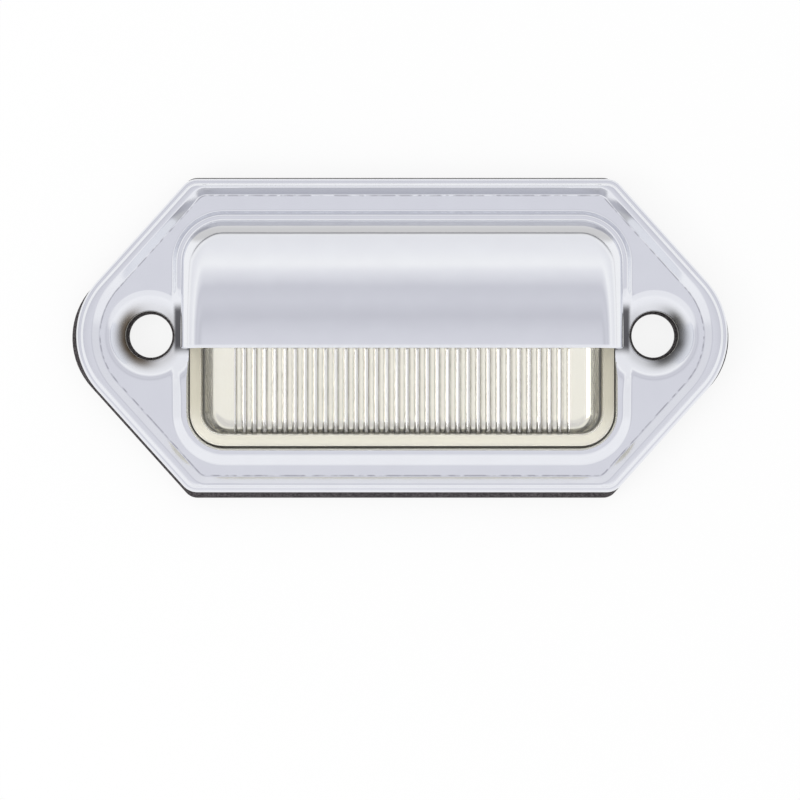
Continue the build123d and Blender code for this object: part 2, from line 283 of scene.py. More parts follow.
def outside_round(x, y, size, middle):
    """How far a point lies outside a round-cornered rectangle."""
    half_x, half_y, radius = size
    qx = np.abs(x) - (half_x - radius)
    qy = np.abs(y - middle) - (half_y - radius)
    return np.hypot(np.maximum(qx, 0), np.maximum(qy, 0)) + np.minimum(np.maximum(qx, qy), 0) - radius


def outside_window(x, y):
    return outside_round(x, y, WINDOW, WINDOW_Y)


def from_hole(x, y):
    return np.hypot(np.abs(x) - HOLE_X, y)


print("rim mm at a long side", round(float(inside_plate(0, 17.6, *PLATE)), 2))

# %% [markdown]
# Polished metal shows every kink, so each step in the section is a soft curve, and where two forms meet the
# lower one is chosen with a blend and not with a crease.

# %% Height of the pressed sheet
PAD, PLATE_TOP, SHEET = 2.0, 3.3, 0.7
LAND, STEP, COLLAR, HOOD_TOP = 5.2, 5.35, 5.9, 15.0
BEAD, BEAD_MORE, FLANK = 5.65, 0.12, 1.15
STEP_AT, STEP_RUN, EDGE_ROUND = 0.5, 0.45, 0.35
COLLAR_OUT, COLLAR_IN, COLLAR_MORE, SILL_ROUND = 2.15, 0.8, 0.55, 0.3
HOLE_R, DISH_FOOT, DISH_SLOPE, HOLE_ROUND = 3.1, 3.35, 0.62, 0.25


def soft(t):
    t = np.clip(t, 0, 1)
    return t * t * t * (t * (6 * t - 15) + 10)


def ramp(t, ease=0.2):
    """0 to 1 in a straight line with soft ends."""
    t = np.clip(t, 0, 1)
    rise = 1 / (1 - ease)
    start, end = rise * t * t / (2 * ease), 1 - rise * (1 - t) ** 2 / (2 * ease)
    return np.where(t < ease, start, np.where(t > 1 - ease, end, rise * (t - ease / 2)))


def rounded(depth, radius):
    """How far a rounded edge falls below its flat, at a depth in from the edge."""
    gap = np.clip(radius - depth, 0, radius)
    return radius - np.sqrt(radius * radius - gap * gap)


def lower_of(a, b, width):
    blend_in = np.maximum(width - np.abs(a - b), 0) / width
    return np.minimum(a, b) - blend_in * blend_in * width / 4


def cover_height(x, y):
    depth = inside_plate(x, y, *PLATE)
    bead = BEAD + BEAD_MORE * soft((y - 2) / 8)
    rim = STEP + (bead - STEP) * ramp((depth - STEP_AT) / STEP_RUN, 0.35) - rounded(depth, EDGE_ROUND)
    z = LAND + (rim - LAND) * ramp(-inside_plate(x, y, *RECESS) / FLANK, 0.12)
    gap = outside_window(x, y)
    inner = COLLAR_IN + COLLAR_MORE * soft((y + 9) / 8)
    z = z + (COLLAR - LAND) * ramp((COLLAR_OUT - gap) / (COLLAR_OUT - inner)) - rounded(gap, SILL_ROUND)
    hole = from_hole(x, y)
    dish = PLATE_TOP + SHEET + DISH_SLOPE * np.maximum(hole - DISH_FOOT, 0) - rounded(hole - HOLE_R, HOLE_ROUND)
    return lower_of(z, dish, 0.35)


print("rim, land, collar", [round(float(cover_height(0.0, y)), 2) for y in (-18.2, -16.6, -14.6)])

# %% [markdown]
# The sheet is meshed from points laid along the features, in rows that are close together where the section
# bends. A Delaunay net joins them. Points of one family give way where another family is in charge.

# %% Rows of points along the features
def along(points, gap):
    """A line of points with further points between them."""
    rows = []
    for a, b in zip(points[:-1], points[1:]):
        count = max(1, int(math.dist(a, b) / gap + 0.5))
        rows += [(a[0] + (b[0] - a[0]) * i / count, a[1] + (b[1] - a[1]) * i / count) for i in range(count)]
    return rows + [points[-1]]


def arc(cx, cy, radius, start, end, step):
    count = max(2, int(abs(end - start) / step + 0.5))
    turns = [math.radians(start + (end - start) * i / count) for i in range(count + 1)]
    return [(cx + radius * math.cos(a), cy + radius * math.sin(a)) for a in turns]


def plate_row(length, width, nose, corner, gap=0.6):
    """Closed row of points on a six-sided outline."""
    s, c = math.sin(SLANT), math.cos(SLANT)
    tip = length / 2 + nose * (1 / s - 1)
    cy = width / 2 - corner
    cx = tip - (corner + cy * c) / s
    turn = 90 - math.degrees(SLANT)
    quarter = arc(length / 2 - nose, 0, nose, 0, turn, 2.5) + arc(cx, cy, corner, turn, 90, 6) + [(0, width / 2)]
    quarter = along(quarter, gap)
    half = quarter + [(-x, y) for x, y in quarter[-2::-1]]
    return half + [(x, -y) for x, y in half[-2:0:-1]]


def round_row(size, middle, grow, gap):
    """Closed row of points on a round-cornered rectangle, grown or shrunk."""
    half_x, half_y, radius = size
    cx, cy, r = half_x - radius, half_y - radius, radius + grow
    quarter = along([(cx + r, 0)] + arc(cx, cy, r, 0, 90, 4) + [(0, cy + r)], gap)
    half = quarter + [(-x, y) for x, y in quarter[-2::-1]]
    whole = half + [(x, -y) for x, y in half[-2:0:-1]]
    return [(x, y + middle) for x, y in whole]


def window_row(grow):
    return round_row(WINDOW, WINDOW_Y, grow, 0.6)


def grown(size, inset):
    length, width, nose, corner = size
    return length - 2 * inset, width - 2 * inset, nose - inset, corner - inset


edge_row = plate_row(*PLATE)
sill_row = window_row(0)
hole_rows = [[(side * HOLE_X + x, y) for x, y in arc(0, 0, HOLE_R, 0, 360, 4)[:-1]] for side in (-1, 1)]
families = []
for inset in [0.02, 0.05, 0.1, 0.16, 0.23, 0.3, 0.38] + list(np.arange(0.47, 0.98, 0.06)):
    families += plate_row(*grown(PLATE, inset))
for inset in np.arange(-1.19, 0.26, 0.07):
    families += plate_row(*grown(RECESS, inset))
for grow in [0.02, 0.06, 0.12, 0.2, 0.3, 0.45, 0.6] + list(np.arange(0.75, 2.3, 0.09)):
    families += window_row(grow)
families = [p for p in families if from_hole(*p) > 5.9]
for radius in [3.12, 3.16, 3.22, 3.28, 3.35] + list(np.arange(3.45, 5.9, 0.11)):
    for side in (-1, 1):
        families += [(side * HOLE_X + x, y) for x, y in arc(0, 0, radius, 0, 360, 3)[:-1]]
families = [p for p in families if outside_window(*p) > 0.01]
print("points", len(families) + len(edge_row) + len(sill_row))

# %% [markdown]
# The net is cut back to the sheet, doubled for the underside, and closed along its four edges: the outside,
# the window and the two holes. On the outside the edge goes down as a skirt and stands on the pad.

# %% The flange
def linked(start, count):
    return [(start + i, start + (i + 1) % count) for i in range(count)]


def flange():
    rings = [edge_row, sill_row] + hole_rows
    flat, fixed = [], []
    for ring in rings:
        fixed += linked(len(flat), len(ring))
        flat += ring
    flat += families
    made = geometry.delaunay_2d_cdt([Vector(p) for p in flat], fixed, [], 0, 1e-5)
    spots = np.array([tuple(v) for v in made[0]])
    faces = np.array([f for f in made[2] if len(f) == 3])
    mid = spots[faces].mean(axis=1)
    x, y = mid[:, 0], mid[:, 1]
    kept = (inside_plate(x, y, *PLATE) > 1e-4) & (outside_window(x, y) > 1e-4) & (from_hole(x, y) > HOLE_R - 1e-3)
    return spots, faces[kept]


spots, faces = flange()
mesh = bmesh.new()
heights = cover_height(spots[:, 0], spots[:, 1])
top = [mesh.verts.new((x * MM, y * MM, z * MM)) for (x, y), z in zip(spots, heights)]
for a, b, c in faces:
    mesh.faces.new((top[a], top[b], top[c]))
for vert in [v for v in mesh.verts if not v.link_faces]:
    mesh.verts.remove(vert)
bmesh.ops.recalc_face_normals(mesh, faces=mesh.faces)
if sum(f.normal.z for f in mesh.faces) < 0:
    bmesh.ops.reverse_faces(mesh, faces=mesh.faces)
print("flange faces", len(mesh.faces), "open edges", sum(e.is_boundary for e in mesh.edges))

# %% [markdown]
# The underside is the same net moved down by the sheet's thickness and, near the rim, inward, so that the skirt
# has a thickness too. It lies on the base and never dips below it.

# %% Underside, skirt and edges
def skirted(mesh):
    """Closes the net: every open edge goes down, the outside one as a skirt."""
    upper = list(mesh.verts)
    fronts = [f.verts[:] for f in mesh.faces]
    open_edges = [e for e in mesh.edges if e.is_boundary]
    under = {}
    for vert in upper:
        x, y, z = (q / MM for q in vert.co)
        depth = float(inside_plate(x, y, *PLATE))
        if depth < 2.0:
            ahead = [float(inside_plate(x + a, y + b, *PLATE)) - depth for a, b in ((0.01, 0), (0, 0.01))]
            slope = math.hypot(*ahead) or 1.0
            push = SHEET * (1 - depth / 2.0)
            x, y = x + push * ahead[0] / slope, y + push * ahead[1] / slope
        under[vert] = mesh.verts.new((x * MM, y * MM, max(z - SHEET, PLATE_TOP) * MM))
    for verts in fronts:
        mesh.faces.new([under[v] for v in reversed(verts)])
    feet = {}
    for edge in open_edges:
        face = edge.link_faces[0]
        a, b = edge.verts
        corner = [l.vert for l in face.loops]
        if corner[(corner.index(a) + 1) % 3] is not b:
            a, b = b, a
        if inside_plate(a.co.x / MM, a.co.y / MM, *PLATE) > 0.5:
            mesh.faces.new((b, a, under[a], under[b]))
            continue
        for v in (a, b):
            if v not in feet:
                low = [mesh.verts.new((*w.co.xy, PAD * MM)) for w in (v, under[v])]
                feet[v] = low
        mesh.faces.new((b, a, feet[a][0], feet[b][0]))
        mesh.faces.new((feet[b][0], feet[a][0], feet[a][1], feet[b][1]))
        mesh.faces.new((feet[b][1], feet[a][1], under[a], under[b]))
    mesh.normal_update()
    return mesh


skirted(mesh)
print("closed", all(e.is_manifold for e in mesh.edges), "volume mm3", round(mesh.calc_volume() / MM**3, 1))

# %% [markdown]
# The hood is drawn over the rear half of the window: upright side walls with a wide rounding, and a roof that
# curves down to the back. It is laid out as rows that run round its three closed sides, from the foot up.

# %% Hood path and roof line
EDGE_Y, LIP = -1.7, 0.2
ROOF_R = 24.0
FOOT = 0.45
wall_x, wall_back, wall_r = WINDOW[0] + SHEET, WINDOW[1] + WINDOW_Y + SHEET, WINDOW[2] + SHEET
side_y = wall_back - wall_r
mid_x = wall_x - wall_r


def roof(y):
    run = np.maximum(y - EDGE_Y, 0)
    return HOOD_TOP - (ROOF_R - np.sqrt(ROOF_R**2 - run * run))


def hood_path():
    """Points round the hood, the way out from each, and how far round the corner it is."""
    left = along([(-wall_x, EDGE_Y + LIP), (-wall_x, side_y)], 0.45)
    steps = [(p, (-1.0, 0.0), 0.0) for p in left[:-1]]
    for i in range(25):
        turn = math.radians(180 - 90 * i / 24)
        out = (math.cos(turn), math.sin(turn))
        steps.append(((-mid_x + wall_r * out[0], side_y + wall_r * out[1]), out, i / 24))
    back = along([(-mid_x, wall_back), (0, wall_back)], 0.9)
    steps += [(p, (0.0, 1.0), 1.0) for p in back[1:]]
    return steps + [((-p[0], p[1]), (-n[0], n[1]), t) for p, n, t in steps[-2::-1]]


path = hood_path()
print("hood path points", len(path))

# %% [markdown]
# A row is the path moved in or out and set at a height. The rounding at the top is wide at the sides and
# narrow along the back, and the foot flares out into the collar, wherever the collar is at that point.

# %% Hood skin
SIDE_ROUND, BACK_ROUND = 2.9, 2.0


def hood_row(kind, t):
    row = []
    for (x, y), (nx, ny), turn in path:
        wide = SIDE_ROUND + (BACK_ROUND - SIDE_ROUND) * float(soft(turn))
        foot = float(cover_height(x + FOOT * nx, y + FOOT * ny))
        if kind == "foot":
            move, z = -FOOT * (1 - math.sin(t)), foot + FOOT * (1 - math.cos(t)) - 0.01
        elif kind == "wall":
            low, high = foot + FOOT, float(roof(y)) - wide
            move, z = 0.0, low + (high - low) * t
        else:
            move = wide * (1 - math.cos(t))
            z = float(roof(y - move * ny)) - wide * (1 - math.sin(t))
        row.append((x - move * nx, y - move * ny, z))
    return row


quarter = math.pi / 2
rows = [hood_row("foot", quarter * i / 6) for i in range(7)]
rows += [hood_row("wall", i / 4) for i in range(1, 4)]
rows += [hood_row("round", quarter * i / 16) for i in range(17)]
n = len(path)
turned = next(i for i, step in enumerate(path) if step[2] == 1.0)
hood = bmesh.new()
grid = [[hood.verts.new([q * MM for q in p]) for p in row] for row in rows]
for low, high in zip(grid[:-1], grid[1:]):
    for i in range(n - 1):
        hood.faces.new((low[i], high[i], high[i + 1], low[i + 1]))
last = grid[-1]
left_x, right_x = last[turned].co.x, last[n - 1 - turned].co.x
share = [(v.co.x - left_x) / (right_x - left_x) for v in last[turned:n - turned]]
sheet_rows = []
for i in range(turned):
    a, b = last[i], last[n - 1 - i]
    inner = [hood.verts.new(a.co.lerp(b.co, f)) for f in share[1:-1]]
    sheet_rows.append([a] + inner + [b])
sheet_rows.append(last[turned:n - turned])
for front, rear in zip(sheet_rows[:-1], sheet_rows[1:]):
    for j in range(len(front) - 1):
        hood.faces.new((front[j], front[j + 1], rear[j + 1], rear[j]))
hood.normal_update()
print("hood faces", len(hood.faces), "roof up", sheet_rows[0][3].normal.z > 0)

# %% [markdown]
# The sheet has a thickness, which shows at the lip. The inside is the outside moved in by that much, and a
# half-round bead joins the two along the open edge.

# %% Hood inside and lip
def thickened(hood):
    outer = list(hood.verts)
    fronts = [f.verts[:] for f in hood.faces]
    rim = [e for e in hood.edges if e.is_boundary]
    level = {}
    for k, row in enumerate(grid):
        for (p, out, _), vert in zip(path, row):
            if k < 7:
                level[vert] = (p[0] - SHEET * out[0], p[1] - SHEET * out[1], vert.co.z / MM)
    inner = {}
    for vert in outer:
        way = vert.normal.copy()
        if vert.co.y < (EDGE_Y + LIP + 0.01) * MM:
            way.y = 0.0
            way.normalize()
        spot = Vector(level[vert]) * MM if vert in level else vert.co - way * SHEET * MM
        inner[vert] = hood.verts.new(spot)
    for verts in fronts:
        hood.faces.new([inner[v] for v in reversed(verts)])
    beads = {}
    for edge in rim:
        a, b = edge.verts
        corner = [l.vert for l in edge.link_faces[0].loops]
        if corner[(corner.index(a) + 1) % len(corner)] is not b:
            a, b = b, a
        at_lip = max(a.co.y, b.co.y) < (EDGE_Y + LIP + 0.01) * MM
        steps = 7 if at_lip else 1
        for v in (a, b):
            if (v, steps) not in beads:
                line = [v]
                for i in range(1, steps):
                    turn = math.pi * i / steps
                    spot = v.co.lerp(inner[v].co, (1 - math.cos(turn)) / 2)
                    line.append(hood.verts.new(spot - Vector((0, LIP * MM * math.sin(turn), 0))))
                beads[(v, steps)] = line + [inner[v]]
        one, two = beads[(a, steps)], beads[(b, steps)]
        for i in range(steps):
            hood.faces.new((two[i], one[i], one[i + 1], two[i + 1]))
    for (v, steps), line in beads.items():
        if steps > 1 and (v, 1) in beads:
            hood.faces.new(line)
    bmesh.ops.remove_doubles(hood, verts=hood.verts, dist=1e-7)
    bmesh.ops.recalc_face_normals(hood, faces=hood.faces)
    return hood


thickened(hood)
print("hood volume mm3", round(hood.calc_volume() / MM**3, 1), "open", sum(not e.is_manifold for e in hood.edges))

# %% [markdown]
# Flange and hood become one object. Masks for the finish are painted on its points: a dark halo round each
# hole, a painted dark reflection beside the hood, painted shade at the rim's foot, a painted grey reflection on
# the strip behind the roof, and the hood's inside.

# %% Cover object
def as_object(mesh, name, sharp):
    data = bpy.data.meshes.new(name)
    mesh.to_mesh(data)
    mesh.free()
    data.polygons.foreach_set("use_smooth", [True] * len(data.polygons))
    data.set_sharp_from_angle(angle=math.radians(sharp))
    made = bpy.data.objects.new(name, data)
    bpy.context.scene.collection.objects.link(made)
    return made


part = bpy.data.meshes.new("hood_part")
hood.to_mesh(part)
hood.free()
mesh.from_mesh(part)
cover = as_object(mesh, "cover_skin", 40)


def paint(piece, name, values):
    layer = piece.data.attributes.new(name, "FLOAT", "POINT")
    layer.data.foreach_set("value", np.ascontiguousarray(values, dtype=np.float32))


spots = np.array([v.co for v in cover.data.vertices]) / MM
ways = np.array([v.normal for v in cover.data.vertices])
x, y, z = spots.T
hole = from_hole(x, y)
outward = (np.abs(x) - HOLE_X) / hole
HALO_RUN, REFLECTION_X, REFLECTION_Y, RIM_SHADE_RUN = 1.9, 28.9, 0.9, 0.12
# Darker round each hole, most on its outer side and towards the bottom.
halo = (1 - soft((hole - HOLE_R) / HALO_RUN)) * (0.3 + 0.7 * soft((outward + 0.6) / 1.1))
halo = halo * soft((1.75 - y / hole * 1.4))
# Painted dark reflection on the chrome beside the hood.
pinch = soft((REFLECTION_X - np.abs(x)) / 0.5) * soft((3.6 - np.abs(y - REFLECTION_Y)) / 1.6) * (z < 6)
# Painted shade at the rim's foot.
fold = 1 - soft(np.abs(inside_plate(x, y, *RECESS)) / RIM_SHADE_RUN)
# Painted grey reflection on the strip behind the roof.
band = soft((ways[:, 1] - 0.60) / 0.1) * (1 - 0.6 * soft((ways[:, 1] - 0.75) / 0.25)) * (z > 6.4) * (y > 8)
paint(cover, "stain", halo * (z < 6))
paint(cover, "band", band)
paint(cover, "pinch", pinch)
paint(cover, "fold", fold)
paint(cover, "inside", (z > 6.2) & (np.einsum("ij,ij->i", ways, spots - (0, 5, 6)) < 0))
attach(cover, "root")
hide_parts("bezel")
print("cover triangles", sum(len(p.vertices) - 2 for p in cover.data.polygons))

# %% [markdown]
# The plating is bright and cool. It has a fine haze and a slight waviness from the press, which softens what
# it mirrors. The masks darken it round each hole, add a painted dark reflection beside the hood, painted shade
# at the rim's foot and a painted grey reflection on the strip behind the roof, and dull the inside of the hood.

# %% Chrome finish
chrome, tree, shader = new_finish("chrome_plate")
where = place(tree)
haze = grain(tree, where, 3.0)
cloud = grain(tree, where, 0.25)
stain, pinch, fold, band, within = [Wire.node(tree, "ShaderNodeAttribute", {"attribute_name": name}, output="Fac")
                                    for name in ("stain", "pinch", "fold", "band", "inside")]
side = Wire.node(tree, "ShaderNodeSeparateXYZ", {}, {"Vector": where}, "X").between(-0.01, 0.01)
plate = blend(tree, haze, (0.83, 0.84, 0.875, 1), (0.87, 0.885, 0.915, 1))
# The halo round each hole is brown at the left one and grey at the right one.
halo_colour = blend(tree, side, (0.10, 0.072, 0.042, 1), (0.10, 0.098, 0.095, 1))
plate = blend(tree, stain * (0.75 + haze * 0.4), plate, halo_colour)
# Painted dark reflection beside the hood.
plate = blend(tree, pinch * 0.95, plate, (0.085, 0.083, 0.09, 1))
# Painted shade, in dashes, at the rim's foot.
plate = blend(tree, fold * grain(tree, where, 0.9).between(0.35, 0.6) * 0.8, plate, (0.30, 0.30, 0.34, 1))
# Painted grey reflection on the strip behind the roof.
plate = blend(tree, band * 0.9, plate, (0.56, 0.56, 0.57, 1))
plate = blend(tree, within, plate, (0.88, 0.87, 0.84, 1))
feed(tree, shader, Base_Color=plate, Roughness=0.07 + cloud * 0.07 + within * 0.3 + (stain + pinch) * 0.2,
     Metallic=1 - within * 0.75, Normal=bump(tree, grain(tree, where, 5.0), 0.02))
cover.data.materials.append(chrome)
print("chrome on", cover.name)

# %% [markdown]
# The lens is a clear moulded tray, upside down: thin walls, a soft outer edge, a slope at the back that clears
# the hood, and ribs on the inside of its top. First comes the plain tray, outside and inside, from rings of
# points. Its columns are set close enough together to carry the ribs.

# %% Rings of the lens
LENS_X, LENS_Y, LENS_R = 26.5, 13.6, 4.2
LENS_FOOT, LENS_TOP, LENS_WALL = 3.8, 9.9, 1.3
RIB_COUNT, RIB_PITCH, RIB_R, RIB_STEPS = 33, 1.27, 0.68, 12
half_ribs = RIB_COUNT * RIB_PITCH / 2
columns = [-half_ribs + RIB_PITCH * i / RIB_STEPS for i in range(RIB_COUNT * RIB_STEPS + 1)]
columns = [LENS_R - LENS_X] + columns + [LENS_X - LENS_R]
straights = list(np.linspace(LENS_R - LENS_Y, LENS_Y - LENS_R, 26))[1:-1]


def lens_ring(inset):
    cx, cy, r = LENS_X - LENS_R, LENS_Y - LENS_R, LENS_R - inset
    front = [(x, -cy - r) for x in columns]
    right = arc(cx, -cy, r, -90, 0, 9)[1:] + [(cx + r, y) for y in straights] + arc(cx, cy, r, 0, 90, 9)[:-1]
    back = [(x, cy + r) for x in reversed(columns)]
    return front + right + back + [(-x, y) for x, y in reversed(right)], len(right)


def lens_skin(mesh, profile, slope):
    """Walls and top from a list of (inset, height); the back is cut by a 45 degree slope."""
    rings = []
    for inset, z in profile:
        ring, side = lens_ring(inset)
        rings.append([mesh.verts.new((x, y + WINDOW_Y, min(z, slope - y - WINDOW_Y))) for x, y in ring])
    n, c = len(rings[0]), len(columns)
    for low, high in zip(rings[:-1], rings[1:]):
        for i in range(n):
            mesh.faces.new((low[i], low[(i + 1) % n], high[(i + 1) % n], high[i]))
    top, z = rings[-1], profile[-1][1]
    front, back = top[:c], top[c + side:2 * c + side][::-1]
    lines = []
    for k in range(side):
        left, right = top[n - 1 - k], top[c + k]
        y = right.co.y
        lines.append([left] + [mesh.verts.new((x, y, min(z, slope - y))) for x in columns] + [right])
    for a, b in zip(lines[:-1], lines[1:]):
        for j in range(c + 1):
            mesh.faces.new((a[j], a[j + 1], b[j + 1], b[j]))
    for row, line in ((front, lines[0]), (back, lines[-1])):
        for j in range(c - 1):
            mesh.faces.new((row[j], row[j + 1], line[j + 2], line[j + 1]))
        mesh.faces.new((row[0], line[1], line[0]))
        mesh.faces.new((row[-1], line[-1], line[-2]))
    return rings[0], lines


print("columns", len(columns), "ring points", len(lens_ring(0)[0]))

# %% [markdown]
# The section of the tray is a list of insets and heights, rounded at the top. The points of its inner top are
# marked, because the ribs grow from them.

# %% Plain lens tray
def rounding(start, z, radius, count):
    turns = [quarter * i / count for i in range(count + 1)]
    return [(start + radius * (1 - math.cos(t)), z - radius * (1 - math.sin(t))) for t in turns]


tray = bmesh.new()
ribbed = tray.verts.layers.float.new("ribbed")
outside = [(0.0, LENS_FOOT), (0.0, 6.5)] + rounding(0.0, LENS_TOP, 1.2, 8)
inside = [(LENS_WALL, LENS_FOOT), (LENS_WALL, 6.0)] + rounding(LENS_WALL, LENS_TOP - LENS_WALL, 0.4, 4)
foot_out, _ = lens_skin(tray, outside, 20.55)
foot_in, ceiling = lens_skin(tray, inside, 19.42)
for i in range(len(foot_out)):
    j = (i + 1) % len(foot_out)
    tray.faces.new((foot_out[i], foot_out[j], foot_in[j], foot_in[i]))
for line in ceiling:
    for vert in line[2:-2]:
        vert[ribbed] = 1.0
bmesh.ops.scale(tray, vec=(MM, MM, MM), verts=tray.verts)
bmesh.ops.recalc_face_normals(tray, faces=tray.faces)
print("tray closed", all(e.is_manifold for e in tray.edges), "volume mm3", round(tray.calc_volume() / MM**3, 1))
lens = as_object(tray, "lens_shell", 30)

# %% [markdown]
# The ribs follow a rule, so Geometry Nodes make them: each point of the inner top moves down by the section of
# a half-round bar, repeated at the rib pitch, and the bars fade out at both ends. The sizes are inputs of the
# tree, and the modifier gets them by the sockets' identifiers before anything is worked out.

# %% Rib tree
ribs = bpy.data.node_groups.new("lens_ribs", "GeometryNodeTree")
INPUTS = [("Geometry", "NodeSocketGeometry"), ("Pitch", "NodeSocketFloat"), ("Radius", "NodeSocketFloat"),
          ("Front", "NodeSocketFloat"), ("Back", "NodeSocketFloat"), ("Fade", "NodeSocketFloat"),
          ("Finish", "NodeSocketMaterial")]
keys = {name: ribs.interface.new_socket(name, in_out="INPUT", socket_type=kind).identifier for name, kind in INPUTS}
ribs.interface.new_socket("Geometry", in_out="OUTPUT", socket_type="NodeSocketGeometry")
given = ribs.nodes.new("NodeGroupInput")
size = {name: Wire(given.outputs[name]) for name, _ in INPUTS}
spot = Wire.node(ribs, "GeometryNodeInputPosition")
x = Wire.node(ribs, "ShaderNodeSeparateXYZ", {}, {"Vector": spot}, "X")
y = Wire(x.socket.node.outputs["Y"])
half = size["Pitch"] * 0.5
across = Wire.node(ribs, "ShaderNodeMath", {"operation": "WRAP"}, {0: x, 1: half, 2: half * -1.0})
square = size["Radius"] * size["Radius"]
bar = x.math("SQRT", square - across * across) - x.math("SQRT", square - half * half)
start, end, run = size["Front"], size["Back"], size["Fade"]
fade = y.between(start, start + run) * (1 - y.between(end - run, end))
mask = Wire.node(ribs, "GeometryNodeInputNamedAttribute", {"data_type": "FLOAT"}, {"Name": "ribbed"}, "Attribute")
down = Wire.node(ribs, "ShaderNodeCombineXYZ", {}, {"Z": bar * fade * mask * -1.0})
moved = Wire.node(ribs, "GeometryNodeSetPosition", {}, {"Geometry": size["Geometry"], "Offset": down})
whole = Wire.node(ribs, "GeometryNodeRealizeInstances", {}, {"Geometry": moved})
shown = Wire.node(ribs, "GeometryNodeSetMaterial", {}, {"Geometry": whole, "Material": size["Finish"]})
Wire.node(ribs, "NodeGroupOutput", {}, {"Geometry": shown})
print("rib tree nodes", len(ribs.nodes))

# %% [markdown]
# Clear plastic bends what lies behind it. Lamp light and scattered light pass straight through it, so the
# inside is lit as it would be, and only looking rays are bent. It is faintly warm and not quite smooth. Dark
# lines along the ribs' sides are painted shade, and so is a slight darkening of the grooves, strongest at the
# ribs' front ends. The border has a cream frost, with painted shade at the sides.

# %% Clear plastic finish
clear, tree, shader = new_finish("clear_plastic", Transmission_Weight=1.0, IOR=1.49)
where = place(tree)
x = Wire.node(tree, "ShaderNodeSeparateXYZ", {}, {"Vector": where}, "X")
y, z = [Wire(x.socket.node.outputs[axis]) for axis in "YZ"]
wide, long = x.math("ABSOLUTE", x), x.math("ABSOLUTE", y - WINDOW_Y * MM)
across = Wire.node(tree, "ShaderNodeMath", {"operation": "WRAP"}, {0: x, 1: RIB_PITCH * MM / 2, 2: -RIB_PITCH * MM / 2})
RIB_LINE = 0.36
beside = x.math("ABSOLUTE", x.math("ABSOLUTE", across) - RIB_LINE * MM)
ribbed = (1 - z.between(8.62 * MM, 8.7 * MM)) * (1 - wide.between(20.9 * MM, 21.0 * MM)) * z.between(7.9 * MM, 8.0 * MM)
ribbed = ribbed * y.between(-12.6 * MM, -12.3 * MM)
# Painted shade: dark lines along the sides of the ribs.
line = (1 - beside.between(0.05 * MM, 0.12 * MM)) * ribbed
tint = blend(tree, grain(tree, where, 4.0), (0.97, 0.965, 0.93, 1), (0.99, 0.985, 0.96, 1))
tint = blend(tree, line * (0.6 + grain(tree, where, 1.5) * 0.5), tint, (0.17, 0.155, 0.12, 1))
feed(tree, shader, Base_Color=tint, Roughness=0.01 + grain(tree, where, 0.6) * 0.03)
out_x, out_y = [x.math("MAXIMUM", v - (size - LENS_R) * MM, 0.0) for v, size in ((wide, LENS_X), (long, LENS_Y))]
border = x.math("SQRT", out_x * out_x + out_y * out_y).between((LENS_R - 1.45) * MM, (LENS_R - 1.25) * MM)
border = border * (0.3 + z.between(6.5 * MM, 8.8 * MM) * 0.7)
# Painted shade: the grooves darken a little, and much more at the ribs' front ends.
groove = x.math("ABSOLUTE", across).between(RIB_LINE * MM, 0.46 * MM) * ribbed
tip = groove * (1 - y.between(-11.7 * MM, -10.7 * MM))
painted_rib_shade, milky, painted_side_shade = [Wire.node(tree, "ShaderNodeBsdfDiffuse", {}, {"Color": colour}) for colour in
                     ((0.16, 0.15, 0.125, 1), (0.99, 0.96, 0.85, 1), (0.55, 0.52, 0.42, 1))]
frost_and_painted_shade = Wire.node(tree, "ShaderNodeMixShader", {}, {0: groove * 0.08 + tip * 0.5, 1: Wire(shader.outputs[0]), 2: painted_rib_shade})
frost_and_painted_shade = Wire.node(tree, "ShaderNodeMixShader", {}, {0: border * 0.6, 1: frost_and_painted_shade, 2: milky})
# Painted shade: the border is darker at the sides than in front.
sides = border * y.between(-12.5 * MM, -8 * MM)
frost_and_painted_shade = Wire.node(tree, "ShaderNodeMixShader", {}, {0: sides * 0.8, 1: frost_and_painted_shade, 2: painted_side_shade})
straight = Wire.node(tree, "ShaderNodeBsdfTransparent", {}, {"Color": (0.97, 0.965, 0.94, 1)})
rays = [Wire.node(tree, "ShaderNodeLightPath", output=f"Is {kind} Ray") for kind in ("Shadow", "Diffuse")]
passing = Wire.node(tree, "ShaderNodeMixShader", {}, {0: rays[0] + rays[1], 1: frost_and_painted_shade, 2: straight})
tree.links.new(passing.socket, tree.nodes["Material Output"].inputs["Surface"])
print("clear plastic ready")

# %% [markdown]
# The rib tree runs on the tray, and what it makes becomes the lens's own mesh.

# %% Ribbed lens
def plain_mesh(piece):
    """What the modifiers make, as the object's own mesh."""
    done = bpy.data.meshes.new_from_object(piece.evaluated_get(bpy.context.evaluated_depsgraph_get()))
    piece.modifiers.clear()
    piece.data = done
    return done


modifier = lens.modifiers.new("ribs", "NODES")
modifier.node_group = ribs
VALUES = {"Pitch": RIB_PITCH * MM, "Radius": RIB_R * MM, "Front": -12.4 * MM, "Back": 10.6 * MM, "Fade": 0.5 * MM,
          "Finish": clear}
for name, value in VALUES.items():
    modifier[keys[name]] = value
done = plain_mesh(lens)
done.set_sharp_from_angle(angle=math.radians(30))
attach(lens, "root")
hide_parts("lens")
depth = min(v.co.z for v in done.vertices if abs(v.co.x) < 0.02 and abs(v.co.y) < 0.005)
print("lens triangles", sum(len(p.vertices) - 2 for p in done.polygons), "rib bottom mm", round(depth / MM, 2))

# %% [markdown]
# The other nodes keep their own meshes. One helper gives a finish to any number of them.

# %% Helper for nodes
def dress(material, slot_name, *names):
    for name in names:
        node = nodes[name]
        node.data.materials.clear()
        node.data.materials.append(material)
    print(material.name, "on", len(names))


# %% [markdown]
# Behind the lens lies a moulded bowl with an opening for each light source and screw. It is a net of rings, its
# height set by the way in from the lip, on a flat foot.

